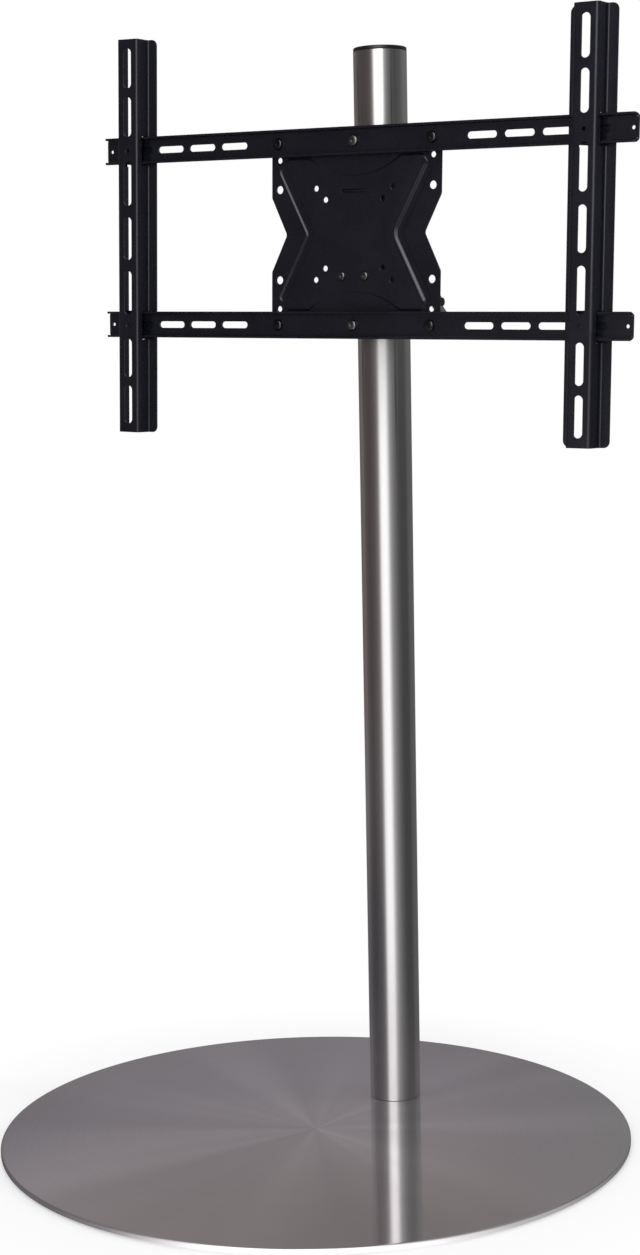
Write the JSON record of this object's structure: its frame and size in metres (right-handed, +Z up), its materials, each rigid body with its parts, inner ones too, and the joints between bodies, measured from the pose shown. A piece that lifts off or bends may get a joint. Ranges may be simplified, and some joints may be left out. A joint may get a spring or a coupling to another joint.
{
  "type": "tv stand with mount",
  "caption": "Floor stand for a screen: round steel disc, round pole and a bracket with slotted rails and upright arms that slides, swivels, tilts and levels.",
  "frame": {"origin": "centre of the disc, on the floor", "axes": "+Z up along the pole; the bracket faces -Y at rest; +X to the right seen from the front"},
  "size_m": [0.7215, 0.7198, 1.2527],
  "materials": {
    "stainless": "brushed stainless steel",
    "black_coat": "fine satin black powder coat",
    "zinc": "bright zinc plating",
    "black_plastic": "smooth black",
    "nylon": "natural nylon",
    "pad_rubber": "matt black"
  },
  "bodies": {
    "stand": {"base_disc": "stainless", "pole_tube": "stainless", "pole_plug": "zinc", "pole_cap": "black_plastic", "base_bolt_1": "zinc", "base_bolt_2": "zinc", "base_bolt_3": "zinc", "floor_pad_1": "pad_rubber", "floor_pad_2": "pad_rubber", "floor_pad_3": "pad_rubber", "floor_pad_4": "pad_rubber", "floor_pad_5": "pad_rubber", "floor_pad_6": "pad_rubber"},
    "bushes": {"upper_bush": "nylon", "lower_bush": "nylon"},
    "swivel_sleeve": {"swivel_sleeve": "black_coat", "clamp_pad": "nylon", "tilt_bolt": "zinc", "tilt_nut": "zinc", "tilt_washer_left": "zinc", "tilt_washer_right": "zinc"},
    "clamp_handle": {"clamp_screw": "black_plastic", "clamp_wing": "zinc"},
    "tilt_knuckle": {"tilt_knuckle": "black_coat", "level_bolt": "zinc"},
    "mount_head": {"hook_plate": "black_coat", "vesa_plate": "black_coat", "head_screw_left": "zinc", "head_screw_right": "zinc", "top_rail": "black_coat", "bottom_rail": "black_coat", "rail_nut_bottom_left": "zinc", "rail_nut_bottom_middle": "zinc", "rail_nut_bottom_right": "zinc", "rail_nut_top_left": "zinc", "rail_nut_top_middle": "zinc", "rail_nut_top_right": "zinc", "rail_screw_bottom_left": "black_coat", "rail_screw_bottom_middle": "black_coat", "rail_screw_bottom_right": "black_coat", "rail_screw_top_left": "black_coat", "rail_screw_top_middle": "black_coat", "rail_screw_top_right": "black_coat"},
    "left_arm": {"left_arm": "black_coat", "left_lock_screw": "black_coat"},
    "right_arm": {"right_arm": "black_coat", "right_lock_screw": "black_coat"}
  },
  "joints": [
    {"name": "height_slide", "type": "slide", "parent": "stand", "child": "bushes", "axis": [0, 0, 1], "range_m": [-0.5, 0.125]},
    {"name": "swivel", "type": "hinge", "parent": "bushes", "child": "swivel_sleeve", "pos_m": [0.01449, 0.15332, 1.0185], "axis": [0, 0, 1], "continuous": true},
    {"name": "clamp_turn", "type": "hinge", "parent": "swivel_sleeve", "child": "clamp_handle", "pos_m": [0.09249, 0.15332, 0.9425], "axis": [1, 0, 0], "range_deg": [0, 330]},
    {"name": "tilt", "type": "hinge", "parent": "swivel_sleeve", "child": "tilt_knuckle", "pos_m": [0.01449, 0.10952, 1.0185], "axis": [1, 0, 0], "range_deg": [-10, 10]},
    {"name": "level", "type": "hinge", "parent": "tilt_knuckle", "child": "mount_head", "pos_m": [0.01449, 0.09332, 1.0185], "axis": [0, 1, 0], "range_deg": [-4.7, 1.3]},
    {"name": "left_arm_slide", "type": "slide", "parent": "mount_head", "child": "left_arm", "axis": [0.9996, 0, -0.0297], "range_m": [-0.014, 0.162]},
    {"name": "right_arm_slide", "type": "slide", "parent": "mount_head", "child": "right_arm", "axis": [0.9996, 0, -0.0297], "range_m": [-0.15, 0.026]}
  ]
}
